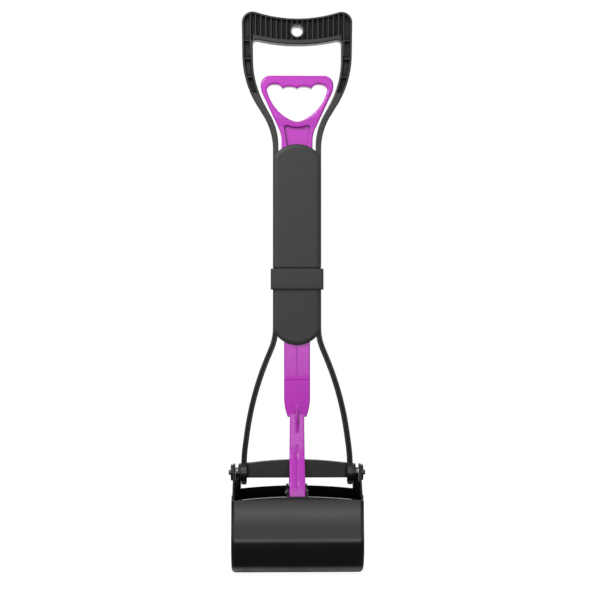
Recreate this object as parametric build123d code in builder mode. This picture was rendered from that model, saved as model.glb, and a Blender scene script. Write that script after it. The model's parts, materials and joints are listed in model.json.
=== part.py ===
from build123d import *
import os
from math import atan2, cos, hypot, pi, radians, sin

# Folding pooper scooper: two spring-closed bucket jaws worked by a pull trigger.
# Millimetres, X to the right, Y to the back, Z up.
# The origin is the centre of the hang hole in the grip, on the mid plane of the shaft.
os.makedirs("parts", exist_ok=True)

# Clearances and cutting
overrun = 6.0                   # how far a cut runs past the face it opens
rim_tilt = 0.3                  # an edge leaning less than this to the depth runs round a rim
face_gap = 0.3                  # between flat faces of different bodies
pin_fit = 0.08                  # radial play of a turning pin
screw_fit = 0.05                # radial play of a screw in its post

# Grip and upper legs
grip_width = 140.0
grip_depth = 16.0
grip_rise_middle = 15.8         # hang hole to the top edge, at the middle
grip_rise_end = 30.8            # the same at the unrounded corner
grip_corner_radius = 13.5
hand_width = 111.4              # hand opening, side to side
hand_drop_middle = 16.7         # hang hole to the top of the hand opening
hand_drop_end = 9.8
hand_corner_radius = 5.0
hang_hole_radius = 7.1
hang_boss_radius = 9.2
shoulder_width = 137.2          # over the legs where they start to lean in
shoulder_drop = 64.2
shoulder_radius = 120.0
shoulder_leg_width = 13.4
knee_drop = 125.5               # where the legs straighten into the shaft
knee_radius = 80.0
leg_slant_shift = 2.5           # the inner bends sit lower than the outer ones
sleeve_width = 61.0             # over the legs inside the shaft
leg_width = 7.0
leg_depth = 11.6
leg_taper_start = 20.0          # the depth shrinks from grip to legs between these drops
leg_taper_end = 136.0
rim = 2.4                       # wall round the ribbed panel
grip_flange = 5.4               # solid band under the panel
panel_web = 3.2                 # plate left between the front and back panels
rib_pitch = 6.55
rib_width = 1.3
rib_setback = 0.5
grip_rib_count = 19
panel_foot_drop = 78.0
cross_rib_drops = (12.0, 35.0, 58.0)
grip_edge_round = 1.2

# Shaft: covers, seam and fold hinge
seam_drop = 298.8
seam_gap = 0.6
cover_thickness = 2.5
cover_width = 58.8
cover_top_drop = 142.5
cover_top_sag = 15.0            # how far the dome has dropped at its unrounded corners
cover_bottom_drop = 395.8
cover_bottom_sag = 17.5
cover_corner_radius = 14.0
cover_bevel_width = 4.4          # the sloping strip round a cover's face
cover_bevel_height = 1.4
post_radius = 2.9
post_span = 40.4                # between the left and right posts
upper_post_drops = (192.0, 276.0)
lower_post_drops = (336.0, 366.0)
screw_radius = 1.5
screw_length = 10.0
screw_head_radius = 2.8
screw_head_height = 1.5
head_sink = 0.15                # the head ends this far under the cover's face
cross_slot_width = 0.7
cross_slot_length = 3.6
cross_slot_depth = 0.8
hinge_offset = 12.3             # fold axis behind the mid plane
knuckle_radius = 3.7
knuckle_width = 4.0
knuckle_gap = 0.4
knuckle_inner = 9.5             # where the frame knuckles start, from the middle
knuckle_web_height = 10.0
hinge_pin_radius = 1.5

# Pull trigger
trigger_travel = 34.0
trigger_width = 91.8
trigger_top_drop = 56.0
trigger_corner_radius = 12.0
trigger_bend_drop = 74.0
trigger_bend_radius = 25.0
trigger_neck_width = 39.2
trigger_neck_drop = 130.0
trigger_neck_radius = 40.0
trigger_loop_depth = 15.0
trigger_neck_depth = 10.4
loop_taper_start = 108.0
loop_taper_end = 122.0
scallop_pitch = 18.2
cusp_drop = 72.3
inner_scallop_drop = 69.3
outer_scallop_drop = 66.4
outer_scallop_middle = 28.3     # where the outer scallop is highest, from the middle
finger_hole_width = 76.4
finger_corner_drop = 73.4
finger_corner_radius = 4.0
finger_nose_drop = 112.9        # where the sides meet the round bottom
finger_nose_span = 11.0
finger_bottom_drop = 114.0
cusp_radius = 1.2               # rounds the points between the scallops
trigger_edge_round = 2.0
recess_top_drop = 116.6
recess_dip = 4.4
recess_top_width = 34.2
recess_width = 24.0
recess_narrow_drop = 146.0
recess_depth = 2.9
recess_corner_radius = 3.0

# Rods inside the shaft
rod_width = 32.8
rod_depth = 9.0
rod_shoulder_drops = (158.0, 172.0)
rod_shoulder_radius = 8.0
rod_recess_end = 14.0           # solid end of the rod above the seam
rod_knuckle_width = 6.8
rod_arm_height = 7.0
rod_edge_round = 1.2

# Pull rod below the shaft
ridge_drop = 437.0
ridge_height = 2.5
ridge_step = 0.6
rod_taper_drop = 461.7
rod_foot_drop = 486.5
rod_foot_width = 23.6
rod_foot_depth = 11.0
ridge_slope = 2.5
crease_width = 0.8
crease_depth = 0.4
strip_top_width = 18.0
strip_foot_width = 20.4
arm_thickness = 4.0
arm_start = (1.9, 462.0)        # offset from the mid plane, and drop
arm_waist = (7.4, 533.0)
arm_knee = (35.5, 570.0)
arm_waist_radius = 30.0
arm_knee_radius = 20.0
arm_foot_radius = 6.0
arm_edge_round = 0.8
arm_groove_width = 3.0
arm_groove_depth = 0.5
arm_groove_drops = (522.0, 572.0)
gusset_width = 2.6
gusset_height = 3.2
gusset_drops = (466.0, 486.0, 507.0)
lug_pin_radius = 2.5
lug_pin_length = 28.6

# Lower legs and crossbar
pivot_drop = 556.9
leg_spread_drop = 387.5         # where the legs start to spread
leg_spread_radius = 70.0
leg_bow_drop = 458.0
leg_bow_inset = 10.5            # at the bow the legs are this far inside their foot
leg_bow_radius = 380.0
leg_end_drop = 571.8
leg_end_radius = 2.2
fork_bend_drop = 536.0
fork_bend_radius = 200.0
leg_groove_width = 2.4
leg_groove_depth = 1.2
leg_edge_round = 1.0
crossbar_depth = 8.0
crossbar_top_drop = 540.2
crossbar_end_drop = 545.3
crossbar_bottom_drop = 563.4
crossbar_edge_round = 0.8

# Jaw pivots
ear_radius = 11.6
leg_boss_height = 0.4           # how far the leg's boss stands out of the leg
inner_ear_thickness = 2.8
spring_space = 4.2
ear_boss_radius = 10.4          # pad on the outer ear, under the pin's head
ear_boss_height = 3.1
ear_edge_round = 0.8
pivot_pin_radius = 2.5
pivot_pin_root = 9.0            # length pressed into the leg
pin_head_radius = 3.3
pin_head_height = 2.6
bushing_radius = 5.6

# Torsion springs
wire_diameter = 0.8
spring_radius = 6.6
spring_half_turns = 5
spring_pitch = 1.22
spring_leg_length = 11.0

# Jaws
jaw_width = 163.2
jaw_wall = 2.0
jaw_top_offset = 23.6           # the top edge below the pivot
jaw_top_sag = 5.0               # the top edge is lower at its ends
jaw_height = 97.9               # top edge to floor
jaw_mouth_depth = 50.0          # front edge to the mid plane
jaw_belly_depth = 57.0
jaw_belly_height = 50.2         # above the floor
jaw_turn_height = 17.9          # where the belly turns under
jaw_turn_depth = 52.0
jaw_floor_depth = 20.0          # flat part of the floor
jaw_corner_radius = 5.0
cheek_rise = 7.0                # how far above the pivot the cheek's edge starts
cheek_offset = 8.8
cheek_inset = 1.1               # the cheek stands inside the jaw's side
cheek_wall = 2.3
cheek_seat = 10.0               # how far the ear's arm reaches down the cheek
ear_clearance = 0.6
bridge_depths = (8.6, 16.0)     # bridge from the inner ear to the cheek, behind the mid plane
bridge_offsets = (6.0, 30.0)    # and below the pivot
lug_root_offsets = (5.5, 25.5)  # below the top edge
lug_offset = 10.6               # inner face of the lugs, from the middle
lug_thickness = 3.0
lug_pin_reach = 38.0            # lug pin in front of the pivot
lug_pin_drop = 32.0             # and below it
lug_slot_play = 0.4
slot_steps = 8                  # places of the pin that the slot is drawn round
lug_wall = 3.0
jaw_opening = 42.5              # degrees, each jaw

# Lock collar
collar_height = 26.5
collar_wall = 2.2
collar_side = 2.5
collar_play = 0.3
collar_lip_reach = 20.0         # where the back lips end, from the middle
collar_lip_thickness = 2.0
collar_top_drop = 299.4
collar_round = 1.6
collar_edge_round = 0.7

# Sizes that follow from the ones above
leg_face = leg_depth / 2
cover_face = leg_face + cover_thickness
sleeve_half = sleeve_width / 2
shoulder_half = shoulder_width / 2
leg_inner = sleeve_half - leg_width
cheek_outer = jaw_width / 2 - cheek_inset
cheek_inner = cheek_outer - cheek_wall
outer_ear_end = cheek_outer + ear_boss_height
inner_ear_end = cheek_inner - spring_space
inner_ear_start = inner_ear_end - inner_ear_thickness
leg_boss_face = inner_ear_start - face_gap
fork_width = 2 * (leg_boss_face - leg_boss_height)
leg_bow_width = fork_width - 2 * leg_bow_inset
upper_end_drop = seam_drop - seam_gap / 2
lower_start_drop = seam_drop + seam_gap / 2
leg_centre = sleeve_half - leg_width / 2
fork_leg_centre = fork_width / 2 - leg_width / 2
rod_slot_half = rod_knuckle_width / 2 + knuckle_gap + knuckle_width + knuckle_gap
cover_half = cover_width / 2
rod_half = rod_width / 2
rod_half_depth = rod_depth / 2
jaw_gap = face_gap
jaw_top_drop = pivot_drop + jaw_top_offset
jaw_bottom_drop = jaw_top_drop + jaw_height
jaw_belly_drop = jaw_bottom_drop - jaw_belly_height
jaw_turn_drop = jaw_bottom_drop - jaw_turn_height
bridge_centre = (sum(bridge_depths) / 2, -pivot_drop - sum(bridge_offsets) / 2)
front_side = -1
back_side = 1


def side_wedge(levels, width):
    """A side outline, symmetric about the mid plane, from (half depth, drop) levels, carried across."""
    with BuildPart() as wedge:
        with BuildSketch(Plane.YZ.offset(-width / 2)):
            Polygon(
                *[(half, -drop) for half, drop in levels],
                *[(-half, -drop) for half, drop in reversed(levels)],
                align=None,
            )
        extrude(amount=width)
    return wedge.part


def rim_edges(piece, level_drops):
    """Edges round a piece's front and back faces, without those that cross it at the listed heights."""
    return piece.edges().filter_by(
        lambda edge: abs(edge.tangent_at().Y) < rim_tilt
        and all(abs(edge.center().Z + drop) > face_gap for drop in level_drops)
    )


# Upper handle: grip, ribbed panels, hang hole and upper legs
with BuildSketch(Plane.XZ) as handle_outline:
    with BuildLine():
        TangentArc((0, grip_rise_middle), (grip_width / 2, grip_rise_end), tangent=(1, 0))
        FilletPolyline(
            (grip_width / 2, grip_rise_end),
            (shoulder_half, -shoulder_drop),
            (sleeve_half, -knee_drop),
            (sleeve_half, -upper_end_drop),
            radius=(shoulder_radius, knee_radius),
        )
        Line((sleeve_half, -upper_end_drop), (leg_inner, -upper_end_drop))
        FilletPolyline(
            (leg_inner, -upper_end_drop),
            (leg_inner, -knee_drop + leg_slant_shift / 2),
            (shoulder_half - shoulder_leg_width, -shoulder_drop - leg_slant_shift),
            (hand_width / 2, -hand_drop_end),
            radius=(knee_radius, shoulder_radius),
        )
        TangentArc((0, -hand_drop_middle), (hand_width / 2, -hand_drop_end), tangent=(1, 0))
        mirror(about=Plane.YZ)
    make_face()
    fillet(handle_outline.vertices().group_by(Axis.Y)[-1], radius=grip_corner_radius)
    hand_corners = handle_outline.vertices().filter_by_position(
        Axis.Y, -hand_drop_end - grip_edge_round, -hand_drop_end + grip_edge_round
    )
    fillet(hand_corners, radius=hand_corner_radius)

with BuildSketch(Plane.XZ) as panel_outline:
    add(handle_outline.sketch_local)
    offset(amount=-rim)
    with Locations((0, -panel_foot_drop - seam_drop / 2)):
        Rectangle(grip_width, seam_drop, mode=Mode.SUBTRACT)
    with BuildLine():
        TangentArc((0, -hand_drop_middle), (hand_width / 2, -hand_drop_end), tangent=(1, 0))
        Line((hand_width / 2, -hand_drop_end), (hand_width / 2, -hand_drop_end + grip_flange))
        TangentArc(
            (0, -hand_drop_middle + grip_flange),
            (hand_width / 2, -hand_drop_end + grip_flange),
            tangent=(1, 0),
        )
        mirror(about=Plane.YZ)
    make_face(mode=Mode.SUBTRACT)
    Circle(hang_boss_radius, mode=Mode.SUBTRACT)

handle_levels = [
    (grip_depth / 2, -grip_width),
    (grip_depth / 2, leg_taper_start),
    (leg_face, leg_taper_end),
    (leg_face, seam_drop + overrun),
]
handle_wedge = side_wedge(handle_levels, grip_width + overrun)

with BuildPart() as upper_handle:
    with BuildSketch(Plane.XZ.offset(-grip_depth / 2)):
        add(handle_outline.sketch_local)
    extrude(amount=grip_depth)
    add(handle_wedge, mode=Mode.INTERSECT)
    handle_rims = rim_edges(upper_handle, (leg_taper_start, leg_taper_end, upper_end_drop))
    fillet(handle_rims, radius=grip_edge_round)
    for side in (front_side, back_side):
        with BuildSketch(Plane.XZ.offset(-side * (grip_depth / 2 - rib_setback))):
            add(panel_outline.sketch_local)
        extrude(amount=-side * overrun, mode=Mode.SUBTRACT)
        with BuildSketch(Plane.XZ.offset(-side * panel_web / 2)):
            add(panel_outline.sketch_local)
            with GridLocations(rib_pitch, 0, grip_rib_count, 1):
                Rectangle(rib_width, 2 * grip_rise_end, mode=Mode.SUBTRACT)
            for rib_drop in cross_rib_drops:
                with Locations((0, -rib_drop)):
                    Rectangle(grip_width, rib_width, mode=Mode.SUBTRACT)
        extrude(amount=-side * grip_depth, mode=Mode.SUBTRACT)
    with Locations(Plane.XZ):
        Hole(hang_hole_radius)
upper_handle.part.label = "upper_handle"
export_step(upper_handle.part, "parts/upper_handle.step")


# Covers of the shaft
def cover_face_outline(seam_end, dome_end, corner_end):
    """Front outline of a cover: straight at the seam, domed at its far end."""
    with BuildSketch() as face:
        with BuildLine():
            ThreePointArc((-cover_half, -corner_end), (0, -dome_end), (cover_half, -corner_end))
            Polyline(
                (cover_half, -corner_end),
                (cover_half, -seam_end),
                (-cover_half, -seam_end),
                (-cover_half, -corner_end),
            )
        make_face()
        dome_corners = face.vertices().filter_by(lambda corner: abs(corner.Y + corner_end) < face_gap)
        fillet(dome_corners, radius=cover_corner_radius)
    return face.sketch_local


upper_cover_outline = cover_face_outline(upper_end_drop, cover_top_drop, cover_top_drop + cover_top_sag)
lower_cover_outline = cover_face_outline(
    lower_start_drop,
    cover_bottom_drop,
    cover_bottom_drop - cover_bottom_sag,
)


def post_places(post_drops):
    """Centres of a cover's four screw posts, in the front view."""
    return [(x, -drop) for x in (-post_span / 2, post_span / 2) for drop in post_drops]


def bevel_rim(face):
    """Slope the strip round a cover's face, but not along the seam."""
    rim_line = face.edges().filter_by(lambda edge: abs(edge.center().Z + seam_drop) > overrun)
    chamfer(rim_line, length=cover_bevel_width, length2=cover_bevel_height, reference=face)


def build_front_cover(outline, post_drops):
    """Flat front cover with a bevelled rim and four posts bored for the screws."""
    with BuildPart() as cover:
        with BuildSketch(Plane.XZ.offset(leg_face)):
            add(outline)
        extrude(amount=cover_thickness)
        bevel_rim(cover.faces().sort_by(Axis.Y)[0])
        with BuildSketch(Plane.XZ.offset(-leg_face)):
            with Locations(*post_places(post_drops)):
                Circle(post_radius)
        extrude(amount=leg_depth)
        with BuildSketch(Plane.XZ.offset(-leg_face)):
            with Locations(*post_places(post_drops)):
                Circle(screw_radius + screw_fit)
        extrude(amount=screw_length, mode=Mode.SUBTRACT)
    return cover


def build_screws(post_drops):
    """Four screws driven from the back, each a head with a cross slot and a shank."""
    head_top = cover_face - head_sink
    with BuildPart() as screws:
        with BuildSketch(Plane.XZ.offset(-head_top)):
            with Locations(*post_places(post_drops)):
                Circle(screw_head_radius)
        extrude(amount=screw_head_height)
        with BuildSketch(Plane.XZ.offset(-head_top)):
            with Locations(*post_places(post_drops)):
                Circle(screw_radius)
        extrude(amount=screw_head_height + screw_length)
        with BuildSketch(Plane.XZ.offset(-head_top)):
            with Locations(*post_places(post_drops)):
                Rectangle(cross_slot_length, cross_slot_width)
                Rectangle(cross_slot_width, cross_slot_length)
        extrude(amount=cross_slot_depth, mode=Mode.SUBTRACT)
    return screws


def knuckle_profile(toward, root, arm_height):
    """Side outline of a hinge knuckle whose arm stands on a back face, above or below the seam."""
    slope = knuckle_radius * cos(pi / 4)
    with BuildSketch() as profile:
        with Locations((hinge_offset, -seam_drop)):
            Circle(knuckle_radius)
        Polygon(
            (root, -seam_drop + toward * seam_gap / 2),
            (root, -seam_drop + toward * arm_height),
            (hinge_offset + slope, -seam_drop + toward * slope),
            (hinge_offset, -seam_drop),
            align=None,
        )
    return profile.sketch_local


def build_back_cover(outline, post_drops, toward, knuckle_start, slot_height, bore_radius):
    """Back cover with sunk screw seats, a slot for the rod hinge and two hinge knuckles."""
    with BuildPart() as cover:
        with BuildSketch(Plane.XZ.offset(-cover_face)):
            add(outline)
        extrude(amount=cover_thickness)
        bevel_rim(cover.faces().sort_by(Axis.Y)[-1])
        with BuildSketch(Plane.XZ.offset(-cover_face)):
            with Locations(*post_places(post_drops)):
                Circle(screw_radius + screw_fit)
            with Locations((0, -seam_drop + toward * slot_height / 2)):
                Rectangle(2 * rod_slot_half, slot_height)
        extrude(amount=cover_thickness, mode=Mode.SUBTRACT)
        with BuildSketch(Plane.XZ.offset(-cover_face)):
            with Locations(*post_places(post_drops)):
                Circle(screw_head_radius + screw_fit)
        extrude(amount=head_sink + screw_head_height, mode=Mode.SUBTRACT)
        for start in (knuckle_start, -knuckle_start - knuckle_width):
            with BuildSketch(Plane.YZ.offset(start)):
                add(knuckle_profile(toward, cover_face - cover_thickness / 2, knuckle_web_height))
            extrude(amount=knuckle_width)
            with BuildSketch(Plane.YZ.offset(start)):
                with Locations((hinge_offset, -seam_drop)):
                    Circle(bore_radius)
            extrude(amount=knuckle_width, mode=Mode.SUBTRACT)
    return cover


upper_front_cover = build_front_cover(upper_cover_outline, upper_post_drops)
upper_front_cover.part.label = "upper_front_cover"
export_step(upper_front_cover.part, "parts/upper_front_cover.step")

lower_front_cover = build_front_cover(lower_cover_outline, lower_post_drops)
lower_front_cover.part.label = "lower_front_cover"
export_step(lower_front_cover.part, "parts/lower_front_cover.step")

upper_back_cover = build_back_cover(
    upper_cover_outline,
    upper_post_drops,
    1,
    knuckle_inner,
    trigger_travel + rod_arm_height + knuckle_radius,
    hinge_pin_radius + screw_fit,
)
upper_back_cover.part.label = "upper_back_cover"
export_step(upper_back_cover.part, "parts/upper_back_cover.step")

lower_back_cover = build_back_cover(
    lower_cover_outline,
    lower_post_drops,
    -1,
    knuckle_inner + knuckle_width + knuckle_gap,
    rod_arm_height + knuckle_gap + face_gap,
    hinge_pin_radius + pin_fit,
)
lower_back_cover.part.label = "lower_back_cover"
export_step(lower_back_cover.part, "parts/lower_back_cover.step")

upper_cover_screws = build_screws(upper_post_drops)
upper_cover_screws.part.label = "upper_cover_screws"
export_step(upper_cover_screws.part, "parts/upper_cover_screws.step")

lower_cover_screws = build_screws(lower_post_drops)
lower_cover_screws.part.label = "lower_cover_screws"
export_step(lower_cover_screws.part, "parts/lower_cover_screws.step")

# Fold hinge pins, one through each pair of frame knuckles
hinge_pin_length = 2 * knuckle_width + knuckle_gap
with BuildPart() as fold_hinge_pins:
    for start in (knuckle_inner, -knuckle_inner - hinge_pin_length):
        with BuildSketch(Plane.YZ.offset(start)):
            with Locations((hinge_offset, -seam_drop)):
                Circle(hinge_pin_radius)
        extrude(amount=hinge_pin_length)
fold_hinge_pins.part.label = "fold_hinge_pins"
export_step(fold_hinge_pins.part, "parts/fold_hinge_pins.step")

# Trigger: finger loop, sunk panel and the upper rod, with the middle knuckle of the rod hinge
trigger_half = trigger_width / 2
finger_half = finger_hole_width / 2
with BuildSketch(Plane.XZ) as trigger_outline:
    with BuildLine():
        FilletPolyline(
            (0, -trigger_top_drop),
            (trigger_half, -trigger_top_drop),
            (trigger_half, -trigger_bend_drop),
            (trigger_neck_width / 2, -trigger_neck_drop),
            (trigger_neck_width / 2, -rod_shoulder_drops[0]),
            (rod_half, -rod_shoulder_drops[1]),
            (rod_half, -upper_end_drop),
            radius=(
                trigger_corner_radius,
                trigger_bend_radius,
                trigger_neck_radius,
                rod_shoulder_radius,
                rod_shoulder_radius,
            ),
        )
        Line((rod_half, -upper_end_drop), (0, -upper_end_drop))
        mirror(about=Plane.YZ)
    make_face()
with BuildSketch(Plane.XZ) as finger_hole:
    with BuildLine():
        ThreePointArc((0, -cusp_drop), (scallop_pitch / 2, -inner_scallop_drop), (scallop_pitch, -cusp_drop))
        ThreePointArc(
            (scallop_pitch, -cusp_drop),
            (outer_scallop_middle, -outer_scallop_drop),
            (finger_half, -finger_corner_drop),
        )
        nose = TangentArc((0, -finger_bottom_drop), (finger_nose_span / 2, -finger_nose_drop), tangent=(1, 0))
        TangentArc(nose @ 1, (finger_half, -finger_corner_drop), tangent=nose % 1)
        mirror(about=Plane.YZ)
    make_face()
    finger_cusps = finger_hole.vertices().filter_by(lambda corner: abs(corner.Y + cusp_drop) < face_gap)
    fillet(finger_cusps, radius=cusp_radius)
    finger_corners = finger_hole.vertices().filter_by(
        lambda corner: abs(corner.Y + finger_corner_drop) < face_gap
    )
    fillet(finger_corners, radius=finger_corner_radius)
with BuildSketch(Plane.XZ) as recess_outline:
    with BuildLine():
        ThreePointArc(
            (-recess_top_width / 2, -recess_top_drop),
            (0, -recess_top_drop - recess_dip),
            (recess_top_width / 2, -recess_top_drop),
        )
        for x_side in (-1, 1):
            Polyline(
                (x_side * recess_top_width / 2, -recess_top_drop),
                (x_side * recess_width / 2, -recess_narrow_drop),
                (x_side * recess_width / 2, -upper_end_drop + rod_recess_end),
                (0, -upper_end_drop + rod_recess_end),
            )
    make_face()
    recess_corners = recess_outline.vertices().filter_by(
        lambda corner: abs(corner.Y + recess_top_drop) < face_gap
    )
    fillet(recess_corners, radius=recess_corner_radius)
trigger_levels = [
    (trigger_loop_depth / 2, trigger_top_drop - overrun),
    (trigger_loop_depth / 2, loop_taper_start),
    (trigger_neck_depth / 2, loop_taper_end),
    (trigger_neck_depth / 2, rod_shoulder_drops[0]),
    (rod_half_depth, rod_shoulder_drops[1]),
    (rod_half_depth, seam_drop + overrun),
]
trigger_wedge = side_wedge(trigger_levels, trigger_width + overrun)
with BuildPart() as trigger:
    with BuildSketch(Plane.XZ.offset(-trigger_loop_depth / 2)):
        add(trigger_outline.sketch_local)
        add(finger_hole.sketch_local, mode=Mode.SUBTRACT)
    extrude(amount=trigger_loop_depth)
    fillet(rim_edges(trigger, (upper_end_drop,)), radius=trigger_edge_round)
    add(trigger_wedge, mode=Mode.INTERSECT)
    neck_rims = rim_edges(trigger, (loop_taper_end, *rod_shoulder_drops, upper_end_drop)).filter_by(
        lambda edge: edge.center().Z < -loop_taper_end and abs(edge.tangent_at().X) < 1 - rim_tilt
    )
    fillet(neck_rims, radius=rod_edge_round)
    for side in (front_side, back_side):
        recess_floor = trigger_neck_depth / 2 - recess_depth
        with BuildSketch(Plane.XZ.offset(-side * recess_floor)):
            add(recess_outline.sketch_local)
        extrude(amount=-side * trigger_loop_depth, mode=Mode.SUBTRACT)
    with BuildSketch(Plane.YZ.offset(-rod_knuckle_width / 2)):
        add(knuckle_profile(1, 0, rod_arm_height))
    extrude(amount=rod_knuckle_width)
    with BuildSketch(Plane.YZ.offset(-rod_knuckle_width / 2)):
        with Locations((hinge_offset, -seam_drop)):
            Circle(hinge_pin_radius + screw_fit)
    extrude(amount=rod_knuckle_width, mode=Mode.SUBTRACT)
trigger.part.label = "trigger"
export_step(trigger.part, "parts/trigger.step")

# Rod hinge pin, through the trigger's knuckle and the two of the pull rod
rod_hinge_pin_length = rod_knuckle_width + 2 * (knuckle_gap + knuckle_width)
with BuildPart() as rod_hinge_pin:
    with BuildSketch(Plane.YZ.offset(-rod_hinge_pin_length / 2)):
        with Locations((hinge_offset, -seam_drop)):
            Circle(hinge_pin_radius)
    extrude(amount=rod_hinge_pin_length)
rod_hinge_pin.part.label = "rod_hinge_pin"
export_step(rod_hinge_pin.part, "parts/rod_hinge_pin.step")

# Pull rod: the lower rod, its stop ridge, the two arms that straddle the crossbar, and their feet
strip_foot_drop = pivot_drop + lug_pin_drop + arm_foot_radius
with BuildSketch(Plane.XZ) as rod_outline:
    with BuildLine():
        Polyline((0, -lower_start_drop), (rod_half, -lower_start_drop), (rod_half, -rod_taper_drop))
        TangentArc((rod_half, -rod_taper_drop), (rod_foot_width / 2, -rod_foot_drop), tangent=(0, -1))
        Polyline(
            (rod_foot_width / 2, -rod_foot_drop),
            (strip_top_width / 2, -rod_foot_drop),
            (strip_foot_width / 2, -strip_foot_drop),
            (0, -strip_foot_drop),
        )
        mirror(about=Plane.YZ)
    make_face()
with BuildLine() as arm_path:
    FilletPolyline(
        (arm_start[0], -arm_start[1]),
        (arm_waist[0], -arm_waist[1]),
        (arm_knee[0], -arm_knee[1]),
        (lug_pin_reach, -pivot_drop - lug_pin_drop),
        radius=(arm_waist_radius, arm_knee_radius),
    )
rod_levels = [
    (rod_half_depth, lower_start_drop),
    (rod_half_depth, ridge_drop - ridge_slope),
    (rod_half_depth + ridge_height, ridge_drop),
    (rod_half_depth + ridge_height - ridge_step, ridge_drop + ridge_slope),
    (rod_foot_depth / 2, rod_foot_drop),
]
rod_wedge = side_wedge(rod_levels, rod_width)
with BuildPart() as pull_rod:
    with BuildSketch(Plane.YZ.offset(-strip_foot_width / 2)) as arms:
        trace(arm_path.line, line_width=arm_thickness)
        with Locations((lug_pin_reach, -pivot_drop - lug_pin_drop)):
            Circle(arm_foot_radius)
        mirror(about=Plane.YZ)
    extrude(amount=strip_foot_width)
    add(rod_wedge)
    with BuildSketch(Plane.XZ.offset(-jaw_mouth_depth)):
        add(rod_outline.sketch_local)
    extrude(amount=2 * jaw_mouth_depth, mode=Mode.INTERSECT)
    long_rims = pull_rod.edges().filter_by(
        lambda edge: abs(abs(edge.center().X) - rod_half) < face_gap
        and abs(edge.tangent_at().Y) < 1 - rim_tilt
    )
    fillet(long_rims, radius=rod_edge_round)
    arm_rims = pull_rod.edges().filter_by(
        lambda edge: strip_top_width / 2 - face_gap < abs(edge.center().X) < strip_foot_width / 2 + face_gap
        and edge.center().Z < -rod_foot_drop - overrun
        and abs(edge.tangent_at().X) < rim_tilt
    )
    fillet(arm_rims, radius=arm_edge_round)
    with BuildSketch(Plane.YZ.offset(-arm_groove_width / 2)):
        trace(arm_path.line, line_width=arm_thickness + overrun)
        trace(arm_path.line, line_width=arm_thickness - 2 * arm_groove_depth, mode=Mode.SUBTRACT)
        with Locations((arm_knee[0], -sum(arm_groove_drops) / 2)):
            Rectangle(2 * arm_knee[0], arm_groove_drops[1] - arm_groove_drops[0], mode=Mode.INTERSECT)
        mirror(about=Plane.YZ)
    extrude(amount=arm_groove_width, mode=Mode.SUBTRACT)
    with BuildSketch(Plane.YZ.offset(-gusset_width / 2)):
        Polygon(
            (0, -gusset_drops[0]),
            (rod_half_depth, -gusset_drops[0]),
            (rod_foot_depth / 2 + gusset_height, -gusset_drops[1]),
            (arm_waist[0], -gusset_drops[2]),
            (0, -gusset_drops[2]),
            align=None,
        )
        mirror(about=Plane.YZ)
    extrude(amount=gusset_width)
    for start in (rod_knuckle_width / 2 + knuckle_gap, -rod_knuckle_width / 2 - knuckle_gap - knuckle_width):
        with BuildSketch(Plane.YZ.offset(start)):
            add(knuckle_profile(-1, 0, rod_arm_height))
        extrude(amount=knuckle_width)
    with BuildSketch(Plane.YZ.offset(-rod_half)):
        with Locations((hinge_offset, -seam_drop)):
            Circle(hinge_pin_radius + pin_fit)
        with Locations(
            (lug_pin_reach, -pivot_drop - lug_pin_drop),
            (-lug_pin_reach, -pivot_drop - lug_pin_drop),
        ):
            Circle(lug_pin_radius + screw_fit)
    extrude(amount=rod_width, mode=Mode.SUBTRACT)
    for side in (front_side, back_side):
        with BuildSketch(Plane.XZ.offset(-side * (rod_half_depth - crease_depth))):
            with Locations((0, -(lower_start_drop + ridge_drop - ridge_slope) / 2)):
                Rectangle(crease_width, ridge_drop - ridge_slope - lower_start_drop)
        extrude(amount=-side * overrun, mode=Mode.SUBTRACT)
pull_rod.part.label = "pull_rod"
export_step(pull_rod.part, "parts/pull_rod.step")

# Lug pins in the feet of the arms
for lug_pin_name, side in (("front_lug_pin", front_side), ("back_lug_pin", back_side)):
    with BuildPart() as lug_pin:
        with BuildSketch(Plane.YZ.offset(-lug_pin_length / 2)):
            with Locations((side * lug_pin_reach, -pivot_drop - lug_pin_drop)):
                Circle(lug_pin_radius)
        extrude(amount=lug_pin_length)
    lug_pin.part.label = lug_pin_name
    export_step(lug_pin.part, f"parts/{lug_pin_name}.step")

# Crossbar between the lower legs, arched along its top
with BuildPart() as crossbar:
    with BuildSketch(Plane.XZ.offset(-crossbar_depth / 2)):
        with BuildLine():
            ThreePointArc(
                (-fork_leg_centre, -crossbar_end_drop),
                (0, -crossbar_top_drop),
                (fork_leg_centre, -crossbar_end_drop),
            )
            Polyline(
                (fork_leg_centre, -crossbar_end_drop),
                (fork_leg_centre, -crossbar_bottom_drop),
                (-fork_leg_centre, -crossbar_bottom_drop),
                (-fork_leg_centre, -crossbar_end_drop),
            )
        make_face()
    extrude(amount=crossbar_depth)
    crossbar_rims = crossbar.edges().filter_by(lambda edge: abs(edge.tangent_at().X) > 1 - rim_tilt)
    fillet(crossbar_rims, radius=crossbar_edge_round)

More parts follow.
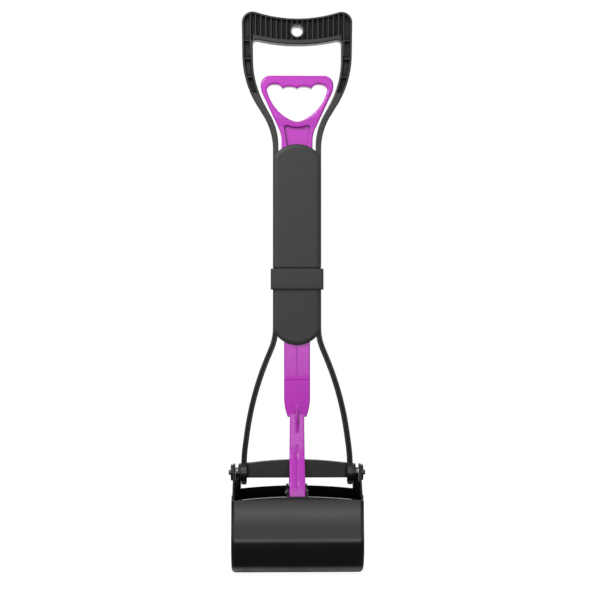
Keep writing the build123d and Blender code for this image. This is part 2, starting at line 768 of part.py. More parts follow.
# Lower legs with the crossbar and the pivot bosses
with BuildLine() as leg_path:
    FilletPolyline(
        (leg_centre, -lower_start_drop),
        (leg_centre, -leg_spread_drop),
        (leg_bow_width / 2 - leg_width / 2, -leg_bow_drop),
        (fork_leg_centre, -fork_bend_drop),
        (fork_leg_centre, -leg_end_drop),
        radius=(leg_spread_radius, leg_bow_radius, fork_bend_radius),
    )
with BuildPart() as lower_legs:
    with BuildSketch(Plane.XZ.offset(-leg_face)) as legs:
        trace(leg_path.line, line_width=leg_width)
        fillet(legs.vertices().group_by(Axis.Y)[0], radius=leg_end_radius)
        mirror(about=Plane.YZ)
    extrude(amount=leg_depth)
    fillet(rim_edges(lower_legs, (lower_start_drop,)), radius=leg_edge_round)
    for side in (front_side, back_side):
        with BuildSketch(Plane.XZ.offset(-side * (leg_face - leg_groove_depth))):
            trace(leg_path.line, line_width=leg_groove_width)
            with Locations((fork_leg_centre, -pivot_drop - ear_radius / 2)):
                Rectangle(2 * leg_width, 3 * ear_radius, mode=Mode.SUBTRACT)
            mirror(about=Plane.YZ)
        extrude(amount=-side * overrun, mode=Mode.SUBTRACT)
    add(crossbar.part)
    for start, way in ((leg_boss_face, -1), (-leg_boss_face, 1)):
        boss_length = leg_boss_face - fork_leg_centre + leg_width / 2
        with BuildSketch(Plane.YZ.offset(start)):
            with Locations((0, -pivot_drop)):
                Circle(ear_radius)
        extrude(amount=way * boss_length)
        with BuildSketch(Plane.YZ.offset(start)):
            with Locations((0, -pivot_drop)):
                Circle(pivot_pin_radius + screw_fit)
        extrude(amount=way * pivot_pin_root, mode=Mode.SUBTRACT)
lower_legs.part.label = "lower_legs"
export_step(lower_legs.part, "parts/lower_legs.step")

# Lock collar: slides over the shaft, open at the back between two lips
collar_inner = sleeve_half + collar_play
collar_front = cover_face + collar_play
with BuildPart() as lock_collar:
    with BuildSketch(Plane.XY.offset(-collar_top_drop - collar_height)) as collar_plan:
        with BuildLine():
            Polyline(
                (0, -collar_front - collar_wall),
                (collar_inner + collar_side, -collar_front - collar_wall),
                (collar_inner + collar_side, collar_front + collar_lip_thickness),
                (collar_lip_reach, collar_front + collar_lip_thickness),
                (collar_lip_reach, collar_front),
                (collar_inner, collar_front),
                (collar_inner, -collar_front),
                (0, -collar_front),
            )
            mirror(about=Plane.YZ)
        make_face()
        outer_corners = collar_plan.vertices().filter_by(
            lambda corner: abs(corner.X) > collar_inner + collar_side / 2
        )
        fillet(outer_corners, radius=collar_round)
    extrude(amount=collar_height)
    collar_front_edges = lock_collar.faces().sort_by(Axis.Y)[0].edges()
    collar_level_edges = collar_front_edges.filter_by(lambda edge: abs(edge.tangent_at().X) > 1 - rim_tilt)
    fillet(collar_level_edges, radius=collar_edge_round)
lock_collar.part.label = "lock_collar"
export_step(lock_collar.part, "parts/lock_collar.step")

# Pivot pins and the bushings between the ears, one of each on both sides
for side_name, way in (("left", -1), ("right", 1)):
    with BuildPart() as pivot_pin:
        pin_root = leg_boss_face - pivot_pin_root
        head_start = outer_ear_end + face_gap
        with BuildSketch(Plane.YZ.offset(way * pin_root)):
            with Locations((0, -pivot_drop)):
                Circle(pivot_pin_radius)
        extrude(amount=way * (head_start - pin_root))
        with BuildSketch(Plane.YZ.offset(way * head_start)):
            with Locations((0, -pivot_drop)):
                Circle(pin_head_radius)
        extrude(amount=way * pin_head_height)
        fillet(pivot_pin.edges().sort_by(Axis.X)[-1 if way > 0 else 0], radius=pin_head_height / 2)
    pivot_pin.part.label = f"pivot_pin_{side_name}"
    export_step(pivot_pin.part, f"parts/pivot_pin_{side_name}.step")

    with BuildPart() as bushing:
        with BuildSketch(Plane.YZ.offset(way * (inner_ear_end + face_gap / 2))):
            with Locations((0, -pivot_drop)):
                Circle(bushing_radius)
                Circle(pivot_pin_radius + screw_fit, mode=Mode.SUBTRACT)
        extrude(amount=way * (spring_space - face_gap))
    bushing.part.label = f"pivot_bushing_{side_name}"
    export_step(bushing.part, f"parts/pivot_bushing_{side_name}.step")


# Torsion springs: an unbroken wire round each bushing, with a straight leg down at each end
def spring_point(turn, way, start):
    """A point of the coil's centre line, at a number of turns from its first end."""
    angle = 2 * pi * turn
    return Vector(
        start + way * spring_pitch * turn,
        spring_radius * cos(angle),
        -pivot_drop + spring_radius * sin(angle),
    )


def spring_heading(turn, way):
    """Direction of the coil's centre line there; the ends are square to the axis."""
    angle = 2 * pi * turn
    lead = 0 if turn in (0, spring_half_turns / 2) else way * spring_pitch
    turn_length = 2 * pi * spring_radius
    return Vector(lead, -turn_length * sin(angle), turn_length * cos(angle)).normalized()


def biarc_joint(first, last, first_heading, last_heading):
    """Where two arcs meet that leave and reach two points along two headings."""
    chord = last - first
    headings = first_heading + last_heading
    spread = 2 * (1 - first_heading.dot(last_heading))
    along = chord.dot(headings)
    reach = (-along + (along ** 2 + spread * chord.dot(chord)) ** 0.5) / spread
    return (first + first_heading * reach + last - last_heading * reach) * 0.5, reach


def build_spring(way):
    """A torsion spring on one side, centred between the ears."""
    turns = spring_half_turns / 2
    start = way * (inner_ear_end + (spring_space - spring_pitch * turns) / 2)
    with BuildPart() as spring:
        with BuildLine() as wire:
            first = spring_point(0, way, start)
            Line(first - spring_heading(0, way) * spring_leg_length, first)
            for half_turn in range(spring_half_turns):
                here = spring_point(half_turn / 2, way, start)
                there = spring_point(half_turn / 2 + 1 / 2, way, start)
                here_heading = spring_heading(half_turn / 2, way)
                there_heading = spring_heading(half_turn / 2 + 1 / 2, way)
                joint, reach = biarc_joint(here, there, here_heading, there_heading)
                joint_heading = (there - there_heading * reach - here - here_heading * reach).normalized()
                TangentArc(here, joint, tangent=here_heading)
                TangentArc(joint, there, tangent=joint_heading)
            last = spring_point(turns, way, start)
            Line(last, last + spring_heading(turns, way) * spring_leg_length)
        with BuildSketch(Plane(wire.line @ 0, z_dir=spring_heading(0, way))):
            Circle(wire_diameter / 2)
        sweep(path=wire.line)
    return spring


def spring_least_gap():
    """Least distance between the surfaces of neighbouring coils, measured on points of the centre line."""
    steps = 24
    path = [spring_point(step / steps, 1, 0) for step in range(int(steps * spring_half_turns / 2) + 1)]
    apart = [
        (path[i] - path[j]).length
        for i in range(len(path))
        for j in range(i + steps // 2, len(path))
    ]
    return min(apart) - wire_diameter


print(f"torsion spring: {spring_half_turns / 2} turns, least gap to itself {spring_least_gap():.2f} mm")
for side_name, way in (("left", -1), ("right", 1)):
    torsion_spring = build_spring(way)
    torsion_spring.part.label = f"torsion_spring_{side_name}"
    export_step(torsion_spring.part, f"parts/torsion_spring_{side_name}.step")


# Jaws: the back jaw's shell is drawn, and the front one mirrors it
def slot_point(share):
    """Where the lug pin sits in the jaw (depth, height), at a share of the trigger's travel."""
    below = lug_pin_drop - share * trigger_travel
    reach = hypot(lug_pin_reach, below)
    angle = atan2(below, lug_pin_reach) + radians(share * jaw_opening)
    return (reach * cos(angle), -pivot_drop - reach * sin(angle))


slot_places = [slot_point(step / slot_steps) for step in range(slot_steps + 1)]
with BuildSketch() as slot_hull:
    with Locations(*slot_places):
        Circle(lug_pin_radius + lug_slot_play)
    make_hull()
slot_outline = slot_hull.sketch_local
with BuildSketch() as lug_hull:
    with Locations(*slot_places):
        Circle(lug_pin_radius + lug_slot_play + lug_wall)
    with Locations((jaw_mouth_depth - jaw_wall / 4, -jaw_top_drop - sum(lug_root_offsets) / 2)):
        Rectangle(jaw_wall / 2, lug_root_offsets[1] - lug_root_offsets[0])
    make_hull()
lug_outline = lug_hull.sketch_local


def jaw_arcs(inset):
    """The floor's turn, the belly and the upper wall: three arcs in line, parallel to the outer ones."""
    places = [
        Vector(jaw_floor_depth, -jaw_bottom_drop),
        Vector(jaw_turn_depth, -jaw_turn_drop),
        Vector(jaw_belly_depth, -jaw_belly_drop),
        Vector(jaw_mouth_depth, -jaw_top_drop),
    ]
    heading = Vector(1, 0)
    arcs = []
    for first, last in zip(places, places[1:]):
        next_heading = TangentArc(first, last, tangent=heading, mode=Mode.PRIVATE) % 1
        inner_first = first + Vector(-heading.Y, heading.X) * inset
        inner_last = last + Vector(-next_heading.Y, next_heading.X) * inset
        arcs.append(TangentArc(inner_first, inner_last, tangent=heading))
        heading = next_heading
    return arcs


def jaw_block(inset):
    """Bucket-shaped block behind the mid plane, inset all round, that runs on past its open sides."""
    half_width = jaw_width / 2 - inset
    with BuildPart() as block:
        with BuildSketch(Plane.YZ.offset(-half_width)):
            with BuildLine():
                arcs = jaw_arcs(inset)
                floor_end = arcs[0] @ 0
                wall_end = arcs[-1] @ 1
                past = overrun + inset
                Polyline(
                    floor_end,
                    (-past, floor_end.Y),
                    (-past, -jaw_top_drop + past),
                    (wall_end.X, -jaw_top_drop + past),
                    wall_end,
                )
            make_face()
        extrude(amount=2 * half_width)
        side_rims = block.edges().filter_by(
            lambda edge: abs(abs(edge.center().X) - half_width) < jaw_gap
            and edge.center().Y > 0
            and edge.center().Z < -jaw_top_drop + overrun / 2
            and edge.length > overrun
        )
        fillet(side_rims, radius=jaw_corner_radius - inset)
    return block.part


def jaw_shell():
    """Half bucket behind the mid plane: belly, floor and cheeks, with two slotted lugs inside."""
    outer_block = jaw_block(0)
    inner_block = jaw_block(jaw_wall)
    with BuildPart() as shell:
        add(outer_block)
        add(inner_block, mode=Mode.SUBTRACT)
        with BuildSketch(Plane.XY.offset(-jaw_bottom_drop - overrun)):
            with Locations((0, jaw_gap + jaw_belly_depth)):
                Rectangle(jaw_width + overrun, 2 * jaw_belly_depth)
        extrude(amount=jaw_bottom_drop + overrun - jaw_top_drop, mode=Mode.INTERSECT)
        with BuildSketch(Plane.XZ.offset(-jaw_mouth_depth + jaw_corner_radius + overrun)):
            with BuildLine():
                ThreePointArc(
                    (-jaw_width / 2, -jaw_top_drop - jaw_top_sag),
                    (0, -jaw_top_drop),
                    (jaw_width / 2, -jaw_top_drop - jaw_top_sag),
                )
                Polyline(
                    (jaw_width / 2, -jaw_top_drop - jaw_top_sag),
                    (jaw_width / 2, -jaw_top_drop + overrun),
                    (-jaw_width / 2, -jaw_top_drop + overrun),
                    (-jaw_width / 2, -jaw_top_drop - jaw_top_sag),
                )
            make_face()
        extrude(amount=-jaw_corner_radius - 2 * overrun, mode=Mode.SUBTRACT)
        for start in (lug_offset, -lug_offset - lug_thickness):
            with BuildSketch(Plane.YZ.offset(start)):
                add(lug_outline)
                add(slot_outline, mode=Mode.SUBTRACT)
            extrude(amount=lug_thickness)
    return shell.part


back_shell = jaw_shell()
front_shell = back_shell.mirror(Plane.XZ)
cheek_foot_drop = jaw_top_drop + jaw_top_sag + cheek_seat


def cheek_outline(toward):
    """Side outline of the plate that rises from a cheek to its ear."""
    with BuildSketch() as cheek:
        Polygon(
            (toward * (jaw_mouth_depth - jaw_wall), -jaw_top_drop - jaw_top_sag),
            (toward * cheek_offset, -pivot_drop + cheek_rise),
            (toward * jaw_gap, -pivot_drop),
            (toward * jaw_gap, -cheek_foot_drop),
            (toward * (jaw_mouth_depth - jaw_wall), -cheek_foot_drop),
            align=None,
        )
    return cheek.sketch_local


with BuildPart() as front_jaw:
    add(front_shell)
    for way in (-1, 1):
        with BuildSketch(Plane.YZ.offset(way * cheek_inner)):
            add(cheek_outline(front_side))
            with Locations((0, -pivot_drop)):
                Circle(ear_radius)
        extrude(amount=way * cheek_wall)
        with BuildSketch(Plane.YZ.offset(way * cheek_outer)):
            with Locations((0, -pivot_drop)):
                Circle(ear_boss_radius)
        extrude(amount=way * ear_boss_height)
    ear_rims = front_jaw.edges().filter_by(lambda edge: abs(edge.center().X) > outer_ear_end - face_gap)
    fillet(ear_rims, radius=ear_edge_round)
    with BuildSketch(Plane.YZ.offset(-outer_ear_end)):
        with Locations((0, -pivot_drop)):
            Circle(pivot_pin_radius + pin_fit)
    extrude(amount=2 * outer_ear_end, mode=Mode.SUBTRACT)
front_jaw.part.label = "front_jaw"
export_step(front_jaw.part, "parts/front_jaw.step")

with BuildPart() as back_jaw:
    add(back_shell)
    for way in (-1, 1):
        with BuildSketch(Plane.YZ.offset(way * cheek_inner)):
            add(cheek_outline(back_side))
            with Locations((0, -pivot_drop)):
                Circle(ear_radius + ear_clearance, mode=Mode.SUBTRACT)
        extrude(amount=way * cheek_wall)
        with BuildSketch(Plane.YZ.offset(way * inner_ear_start)):
            with Locations((0, -pivot_drop)):
                Circle(ear_radius)
            with Locations(bridge_centre):
                Rectangle(bridge_depths[1] - bridge_depths[0], bridge_offsets[1] - bridge_offsets[0])
            make_hull()
        extrude(amount=way * inner_ear_thickness)
        with BuildSketch(Plane.YZ.offset(way * inner_ear_start)):
            with Locations(bridge_centre):
                Rectangle(bridge_depths[1] - bridge_depths[0], bridge_offsets[1] - bridge_offsets[0])
            with Locations((0, -pivot_drop)):
                Circle(ear_radius + ear_clearance, mode=Mode.SUBTRACT)
        extrude(amount=way * (cheek_inner + cheek_wall / 2 - inner_ear_start))
    with BuildSketch(Plane.YZ.offset(-inner_ear_end)):
        with Locations((0, -pivot_drop)):
            Circle(pivot_pin_radius + pin_fit)
    extrude(amount=2 * inner_ear_end, mode=Mode.SUBTRACT)
back_jaw.part.label = "back_jaw"
export_step(back_jaw.part, "parts/back_jaw.step")
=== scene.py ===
import bpy
import json
import numpy as np
from math import cos, pi, radians, sin
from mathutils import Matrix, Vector


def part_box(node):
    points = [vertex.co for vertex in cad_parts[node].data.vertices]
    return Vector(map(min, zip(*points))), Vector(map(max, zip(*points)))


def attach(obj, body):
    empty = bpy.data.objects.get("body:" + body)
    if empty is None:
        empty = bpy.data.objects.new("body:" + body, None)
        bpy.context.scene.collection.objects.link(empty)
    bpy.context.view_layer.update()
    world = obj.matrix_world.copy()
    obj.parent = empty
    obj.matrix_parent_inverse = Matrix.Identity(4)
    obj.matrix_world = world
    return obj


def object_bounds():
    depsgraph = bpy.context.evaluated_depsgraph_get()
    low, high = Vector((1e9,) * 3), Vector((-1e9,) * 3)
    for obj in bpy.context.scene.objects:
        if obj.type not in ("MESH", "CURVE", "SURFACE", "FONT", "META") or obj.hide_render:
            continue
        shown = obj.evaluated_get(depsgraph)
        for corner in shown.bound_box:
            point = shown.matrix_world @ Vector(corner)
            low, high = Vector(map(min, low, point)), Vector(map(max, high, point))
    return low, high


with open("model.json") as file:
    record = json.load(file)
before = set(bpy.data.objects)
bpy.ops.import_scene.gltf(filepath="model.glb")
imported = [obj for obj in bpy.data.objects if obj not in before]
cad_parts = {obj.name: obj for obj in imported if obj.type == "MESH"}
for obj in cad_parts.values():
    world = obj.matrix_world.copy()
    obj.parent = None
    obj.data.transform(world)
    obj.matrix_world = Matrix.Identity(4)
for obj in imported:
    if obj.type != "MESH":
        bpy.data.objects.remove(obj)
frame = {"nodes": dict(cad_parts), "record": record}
cadBox = [list(corner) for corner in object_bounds()]
scene = bpy.context.scene
nodes = frame["nodes"]
print("frame:", len(nodes), "nodes")


# A socket that can be added, multiplied and so on, so a shader reads like a formula
class Wire:
    def __init__(self, graph, socket):
        self.graph = graph
        self.socket = socket

    def maths(self, operation, value=0.0, clamp=False):
        return self.graph.node("ShaderNodeMath", {0: self, 1: value}, operation=operation, use_clamp=clamp)

    def __add__(self, value):
        return self.maths("ADD", value)

    def __sub__(self, value):
        return self.maths("SUBTRACT", value)

    def __mul__(self, value):
        return self.maths("MULTIPLY", value)

    def __truediv__(self, value):
        return self.maths("DIVIDE", value)

    def __rsub__(self, value):
        return self.graph.node("ShaderNodeMath", {0: value, 1: self}, operation="SUBTRACT")

    __radd__ = __add__
    __rmul__ = __mul__

    def clamped(self):
        return self.maths("ADD", clamp=True)

    def output(self, name):  # another output of the same node
        return Wire(self.graph, self.socket.node.outputs[name])


# The node tree of a material or world: node() adds any node, sets or wires its inputs, returns an output
class Graph:
    def __init__(self, holder):
        self.holder = holder
        self.holder.use_nodes = True
        self.tree = self.holder.node_tree
        self.tree.nodes.clear()

    def node(self, kind, inputs=None, out=0, **settings):
        added = self.tree.nodes.new(kind)
        for key, value in settings.items():
            setattr(added, key, value)
        for key, value in (inputs or {}).items():
            if isinstance(value, Wire):
                self.tree.links.new(value.socket, added.inputs[key])
            else:
                added.inputs[key].default_value = value
        return Wire(self, added.outputs[out]) if added.outputs else None

    def place(self):
        return self.node("ShaderNodeTexCoord", out="Object")

    def noise(self, where, size, detail=2.0, roughness=0.5):
        return self.node(
            "ShaderNodeTexNoise",
            {"Vector": where, "Scale": 1.0 / size, "Detail": detail, "Roughness": roughness},
            out="Fac",
        )

    def mixed(self, share, first, second):  # sockets 6 and 7 are the colours, and 2 is the mixed one
        return self.node("ShaderNodeMix", {"Factor": share, 6: first, 7: second}, out=2, data_type="RGBA")

    def finish(self, shader):
        self.node("ShaderNodeOutputMaterial", {"Surface": shader})
        return self.holder


def shade(color, factor=1.0):
    return tuple(channel * factor for channel in color) + (1.0,)


white = (1.0, 1.0, 1.0, 1.0)
noiseMiddle = 0.5  # a noise varies about this value
probes = {"edge": 4, "round": 6, "hollow": 8}  # rays that a shader sends out to feel edges and recesses


# A painted reflection of the bright floor on the low, turned-under rim: a lighter colour below lipTop,
# further than lipDepth from the middle, in streaks that run down the face
def paintedRimReflection(g, where, look):
    height = g.node("ShaderNodeSeparateXYZ", {0: where}, out="Z")
    depth = height.output("Y").maths("ABSOLUTE")
    squeezed = g.node("ShaderNodeMapping", {"Vector": where, "Scale": look["lipSqueeze"]})
    stripes = g.noise(squeezed, look["lipStreak"], detail=3.0, roughness=0.6)
    streaks = look["streakBase"] + look["streakGain"] * stripes
    low = ((look["lipTop"] - height) / look["lipFade"]).clamped()
    bent = ((depth - look["lipDepth"]) / look["lipFade"]).clamped()
    return (low * bent * streaks).clamped()


# Moulded plastic: mottled colour, fine grain in the normal, drifting roughness, edges mixed toward an edge
# colour (partly wear, partly painted light) and painted shade darkening the recesses
def plastic(name, look):
    g = Graph(bpy.data.materials.new(name))
    where = g.place()
    flow = g.noise(where, look["flowSize"], detail=3.0)
    grain = g.noise(where, look["grainSize"], detail=2.0, roughness=0.6)
    scuff = g.noise(where, look["scuffSize"], detail=5.0, roughness=0.7)
    darker = shade(look["color"], 1.0 - look["mottle"])
    lighter = shade(look["color"], 1.0 + look["mottle"])
    base = g.mixed(flow, darker, lighter)
    # Edge marks, partly wear and partly painted light: a darker edgeColor paints a shade outline, a lighter
    # one a highlight line
    blunted = g.node("ShaderNodeBevel", {"Radius": look["edgeSize"]}, samples=probes["edge"])
    rounded = g.node("ShaderNodeBevel", {"Radius": look["roundSize"]}, samples=probes["round"])
    normal = g.node("ShaderNodeNewGeometry", out="Normal")
    flatness = g.node(
        "ShaderNodeVectorMath", {0: blunted, 1: normal}, out="Value", operation="DOT_PRODUCT"
    )
    edgeWearAndPaintedLight = ((1.0 - flatness) * look["edgeGain"] * (scuff + look["leastEdgeMark"])).clamped()
    # Painted shade in recesses: occlusion within hollowSize darkens the colour toward hollowShade and thins
    # the coat
    openness = g.node(
        "ShaderNodeAmbientOcclusion",
        {"Distance": look["hollowSize"]},
        out="AO",
        samples=probes["hollow"],
        only_local=True,
    )
    hollow = ((1.0 - openness) * look["hollowGain"]).clamped()
    edgeWornAndPainted = g.mixed(edgeWearAndPaintedLight * look["edgeShare"], base, shade(look["edgeColor"]))
    color = g.mixed(hollow, edgeWornAndPainted, shade(look["color"], look["hollowShade"]))
    # Painted reflection: the jaw's turned-under rim is lightened as if it mirrored the bright floor
    if "lipTop" in look:
        color = g.mixed(paintedRimReflection(g, where, look), color, shade(look["lipReflectionColor"]))
    drift = look["roughDrift"]
    rough = look["rough"] + (flow - noiseMiddle) * drift + (scuff - noiseMiddle) * drift
    relief = g.node(
        "ShaderNodeBump",
        {"Height": grain, "Distance": look["grainHeight"], "Strength": 1.0, "Normal": rounded},
    )
    shader = g.node(
        "ShaderNodeBsdfPrincipled",
        {
            "Base Color": color,
            "Roughness": rough,
            "IOR": look["ior"],
            "Coat Weight": (1.0 - hollow) * look["coat"],
            "Coat Roughness": look["coatRough"],
            "Normal": relief,
        },
    )
    return g.finish(shader)


# Turned or drawn steel: fine lines round the axis, from a noise squeezed along one direction
def steel(name, look):
    g = Graph(bpy.data.materials.new(name))
    where = g.place()
    squeezed = g.node("ShaderNodeMapping", {"Vector": where, "Scale": look["squeeze"]})
    lines = g.noise(squeezed, look["lineSize"])
    spots = g.noise(where, look["spotSize"], detail=4.0, roughness=0.65)
    color = g.mixed(spots, shade(look["color"], look["dark"]), shade(look["color"], look["light"]))
    rough = look["rough"] + (lines - noiseMiddle) * look["roughDrift"]
    relief = g.node("ShaderNodeBump", {"Height": lines, "Distance": look["lineHeight"], "Strength": 1.0})
    shader = g.node(
        "ShaderNodeBsdfPrincipled",
        {"Base Color": color, "Metallic": 1.0, "Roughness": rough, "Normal": relief},
    )
    return g.finish(shader)


# Finishes, lengths in metres. What the plastics share:
plasticLook = {
    "mottle": 0.08, "coat": 0.0, "coatRough": 0.3,
    # hollowSize, hollowGain and hollowShade set the painted shade in recesses
    "leastEdgeMark": 0.4, "edgeGain": 3.0, "hollowSize": 0.004, "hollowGain": 1.5, "hollowShade": 0.5,
}
# The grip's edgeColor, lighter than its black, paints a highlight line along the edges, partly wear
gripLook = dict(
    plasticLook, color=(0.006, 0.006, 0.006), mottle=0.12, flowSize=0.03, rough=0.38, roughDrift=0.10,
    grainSize=0.0005, grainHeight=0.00002, scuffSize=0.004, ior=1.2, coat=0.6, hollowSize=0.006,
    hollowGain=2.5, edgeSize=0.0006, edgeShare=0.5, edgeColor=(0.05, 0.048, 0.05), roundSize=0.0025,
)
# The sleeve's edgeColor, darker than its plastic, paints a shade outline along the edges
sleeveLook = dict(
    plasticLook, color=(0.018, 0.0175, 0.018), flowSize=0.05, rough=0.55, roughDrift=0.08,
    grainSize=0.0006, grainHeight=0.00004, scuffSize=0.005, ior=1.42,
    edgeSize=0.0006, edgeShare=0.7, edgeColor=(0.004, 0.004, 0.004), roundSize=0.0028,
)
jawLook = dict(
    plasticLook, color=(0.004, 0.0038, 0.0039), flowSize=0.06, rough=0.17, roughDrift=0.05,
    grainSize=0.0008, grainHeight=0.000008, scuffSize=0.006, ior=1.37, hollowSize=0.006,
    hollowGain=1.0, edgeSize=0.0007, edgeShare=0.4, edgeColor=(0.04, 0.04, 0.042), roundSize=0.0007,
    # lipTop to streakGain: the painted reflection on the jaw's turned-under rim
    lipTop=cadBox[0][2] + 0.0125, lipFade=0.010, lipDepth=0.0215, lipReflectionColor=(0.32, 0.31, 0.32),
    lipSqueeze=(1.0, 0.08, 0.08), lipStreak=0.0025, streakBase=0.55, streakGain=0.9,
)
# The trigger's edgeColor, a darker purple, paints a shade outline along the edges
triggerLook = dict(
    plasticLook, color=(0.42, 0.016, 0.42), mottle=0.05, flowSize=0.04, rough=0.22, roughDrift=0.06,
    grainSize=0.0006, grainHeight=0.000015, scuffSize=0.005, ior=1.48, hollowShade=0.55,
    edgeSize=0.0008, edgeShare=0.7, edgeColor=(0.16, 0.006, 0.13), roundSize=0.003,
)
# The collar's wider, stronger edge band paints a dark shade outline round the collar
collarLook = dict(sleeveLook, edgeSize=0.0012, roundSize=0.0045, edgeShare=0.9)
bushingLook = dict(sleeveLook, color=(0.02, 0.02, 0.021), rough=0.45)
pinLook = {
    "color": (0.45, 0.45, 0.46), "dark": 0.85, "light": 1.1, "rough": 0.34, "roughDrift": 0.2,
    "squeeze": (20.0, 1.0, 1.0), "lineSize": 0.002, "lineHeight": 0.00001, "spotSize": 0.002,
}
screwLook = dict(pinLook, color=(0.10, 0.10, 0.105), rough=0.42)
springLook = dict(pinLook, color=(0.55, 0.55, 0.57), rough=0.28, squeeze=(1.0, 6.0, 6.0))

finishes = {
    "grip_plastic": plastic("gripPlastic", gripLook),
    "sleeve_plastic": plastic("sleevePlastic", sleeveLook),
    "trigger_plastic": plastic("triggerPlastic", triggerLook),
    "jaw_plastic": plastic("jawPlastic", jawLook),
    "bushing_plastic": plastic("bushingPlastic", bushingLook),
    "pin_steel": steel("pinSteel", pinLook),
    "screw_steel": steel("screwSteel", screwLook),
    "spring_steel": steel("springSteel", springLook),
}
ownFinishes = {"lock_collar": plastic("collarPlastic", collarLook)}
for subpart in frame["record"]["subparts"]:  # every CAD node takes its own finish or its slot's
    name = subpart["node"]
    mesh = nodes[name].data
    mesh.materials.clear()
    mesh.materials.append(ownFinishes.get(name, finishes[subpart["material_slot"]]))
print("materials:", len(finishes) + len(ownFinishes))

# Lips in the fold seam: two half-round beads under the upper covers' lower edge, so that no light
# shows through the seam. Lengths in metres, "sink" is how far a bead's flat top is let into the cover
lipLook = {
    "halfWidth": 0.0300, "bead": 0.00035, "sink": 0.00005, "along": 41, "around": 9,
    "depths": {"front": -0.007, "back": 0.005},
}


# One bead: u runs along the seam from -1 to 1 and v round half a circle from 0 to pi, so that x is half
# the width times u, y the depth plus the bead's radius times the cosine of v, and z the top less the
# radius times the sine of v. The last v joins the first as the flat top, and a flat cap closes each end
def seamLip(name, depth, top, look):
    u = np.linspace(-1.0, 1.0, look["along"])
    v = np.linspace(0.0, pi, look["around"])
    across, turned = np.meshgrid(u, v, indexing="ij")
    points = np.stack(
        [
            look["halfWidth"] * across,
            depth + look["bead"] * np.cos(turned),
            top - look["bead"] * np.sin(turned),
        ],
        axis=-1,
    ).reshape(-1, 3)
    count = look["around"]
    last = (look["along"] - 1) * count
    start = np.arange(last).reshape(-1, count)
    wrapped = np.roll(start, -1, axis=1)
    quads = np.stack([start, start + count, wrapped + count, wrapped], axis=-1)
    faces = quads.reshape(-1, 4).tolist()
    faces.append(list(range(count)))
    faces.append(list(range(last + count - 1, last - 1, -1)))
    mesh = bpy.data.meshes.new(name)
    mesh.from_pydata(points.tolist(), [], faces)
    mesh.materials.append(finishes["sleeve_plastic"])
    piece = bpy.data.objects.new(name, mesh)
    scene.collection.objects.link(piece)
    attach(piece, "upper_frame")


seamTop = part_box("upper_front_cover")[0][2]
for side, depth in lipLook["depths"].items():
    seamLip("seamLip_" + side, depth, seamTop + lipLook["sink"], lipLook)
print("pieces: seam lips")

# Camera: level, at the photograph's distance, a little to the left and turned to the right by "turn"
# degrees. "width" is what the picture spans at that distance
camera = {"distance": 1.6, "side": 0.0038, "turn": 1.1, "height": -0.339, "width": 0.7596, "sensor": 36.0}
cameraData = bpy.data.cameras.new("camera")
cameraData.sensor_width = camera["sensor"]
cameraData.lens = camera["sensor"] * camera["distance"] / camera["width"]
cameraObject = bpy.data.objects.new("camera", cameraData)
turn = radians(camera["turn"])
cameraObject.location = (
    camera["side"] - camera["distance"] * sin(turn),
    -camera["distance"] * cos(turn),
    camera["height"],
)
cameraObject.rotation_euler = (radians(90.0), 0.0, -turn)
scene.collection.objects.link(cameraObject)
scene.camera = cameraObject


# An area lamp that faces a point of the object and that the camera doesn't see
def lamp(name, place, target, size, power):
    data = bpy.data.lights.new(name, "AREA")
    data.shape = "RECTANGLE"
    data.size, data.size_y = size
    data.energy = power
    made = bpy.data.objects.new(name, data)
    made.location = place
    made.visible_camera = False
    made.rotation_euler = (Vector(target) - Vector(place)).to_track_quat("-Z", "Y").to_euler()
    scene.collection.objects.link(made)


# The front and strip lamps are also what the covers and the upper faces of the jaws mirror
lamps = {
    "keyLamp": {"place": (-0.7, -1.0, 0.7), "target": (0.0, 0.0, -0.25), "size": (1.0, 0.8), "power": 24.0},
    "rimLamp": {"place": (0.2, 1.3, 0.8), "target": (0.0, 0.0, -0.30), "size": (1.4, 0.6), "power": 12.0},
    "backLamp": {"place": (0.5, 2.7, 0.2), "target": (0.2, 0.0, 0.2), "size": (2.4, 1.5), "power": 14.0},
    "sideLamp": {"place": (2.4, 1.1, 0.1), "target": (0.0, 0.1, -0.30), "size": (1.6, 1.5), "power": 10.0},
    "leftLamp": {"place": (-2.7, 0.0, 0.1), "target": (0.0, 0.0, 0.1), "size": (2.0, 1.4), "power": 3.0},
    "rightLamp": {"place": (2.7, 0.0, 0.1), "target": (0.0, 0.0, 0.1), "size": (2.0, 1.4), "power": 3.0},
    "frontLamp": {
        "place": (-0.6, -2.7, 0.3), "target": (-0.6, 0.0, 0.3), "size": (3.0, 1.5), "power": 14.0,
    },
    "stripLamp": {
        "place": (-0.3, -2.6, -0.415), "target": (-0.3, 0.0, -0.415), "size": (2.6, 0.31), "power": 7.0,
    },
}
for name, setting in lamps.items():
    lamp(name, **setting)

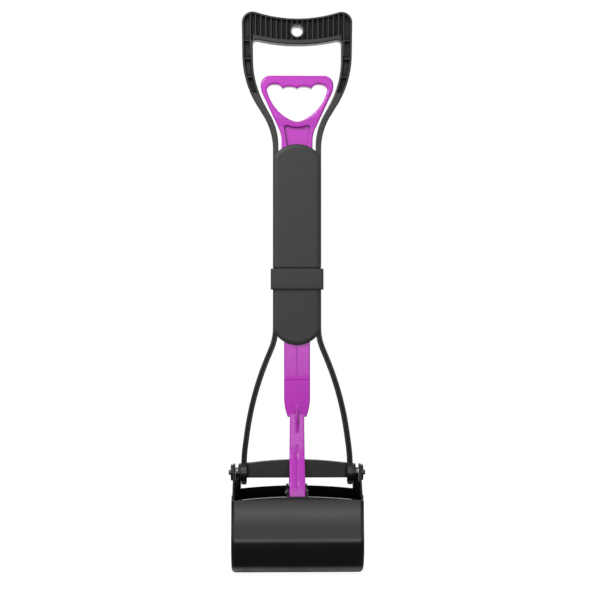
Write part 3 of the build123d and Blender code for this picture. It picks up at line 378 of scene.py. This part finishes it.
# World: white to the camera, in mirrors and through glass, and a soft grey light otherwise
skyLook = {"soft": 0.16, "white": 1.0}
sky = Graph(bpy.data.worlds.new("studio"))
seen = sky.node("ShaderNodeLightPath", out="Is Camera Ray")
shown = (seen + seen.output("Is Glossy Ray") + seen.output("Is Transmission Ray")).clamped()
strength = skyLook["soft"] + (skyLook["white"] - skyLook["soft"]) * shown
background = sky.node("ShaderNodeBackground", {"Color": white, "Strength": strength})
sky.node("ShaderNodeOutputWorld", {"Surface": background})
scene.world = sky.holder
scene.view_settings.view_transform = "Standard"

# Floor just under the jaws. To the camera it is pale paper that glows: wholly white beyond farReach, and
# within nearReach only by the share glowNear, so that the object's shadow stays, with lift added to the
# glow to make up for the darker paper. A point's reach is how much farther it is from the origin than the
# floor's nearest point. In mirrors the floor is plain grey paper, as the jaws' dark lower half asks for
floorLook = {
    "half": 3.9, "drop": 0.0008, "pale": (0.6, 0.6, 0.6, 1.0), "grey": (0.2, 0.2, 0.2, 1.0),
    "glowNear": 0.78, "lift": 0.2, "nearReach": 0.3, "farReach": 1.3,
}
half = floorLook["half"]
floorHeight = cadBox[0][2] - floorLook["drop"]
corners = [(x * half, y * half, floorHeight) for x, y in ((-1, -1), (1, -1), (1, 1), (-1, 1))]
floorMesh = bpy.data.meshes.new("floor")
floorMesh.from_pydata(corners, [], [(0, 1, 2, 3)])
floor = bpy.data.objects.new("floor", floorMesh)
scene.collection.objects.link(floor)
g = Graph(bpy.data.materials.new("floorPaper"))
seen = g.node("ShaderNodeLightPath", out="Is Camera Ray")
away = g.node("ShaderNodeVectorMath", {0: g.place()}, out="Value", operation="LENGTH")
fadeWidth = floorLook["farReach"] - floorLook["nearReach"]
reach = away - abs(floorHeight)
near = 1.0 - ((reach - floorLook["nearReach"]) / fadeWidth).clamped()
share = 1.0 - (1.0 - floorLook["glowNear"]) * near
paperColor = g.mixed(seen.output("Is Glossy Ray"), floorLook["pale"], floorLook["grey"])
paper = g.node("ShaderNodeBsdfDiffuse", {"Color": paperColor})
glowStrength = 1.0 + floorLook["lift"] * near
glow = g.node("ShaderNodeEmission", {"Color": white, "Strength": glowStrength})
surface = g.node("ShaderNodeMixShader", {0: seen * share, 1: paper, 2: glow})
floorMesh.materials.append(g.finish(surface))
print("stage: camera, lamps, world and floor")
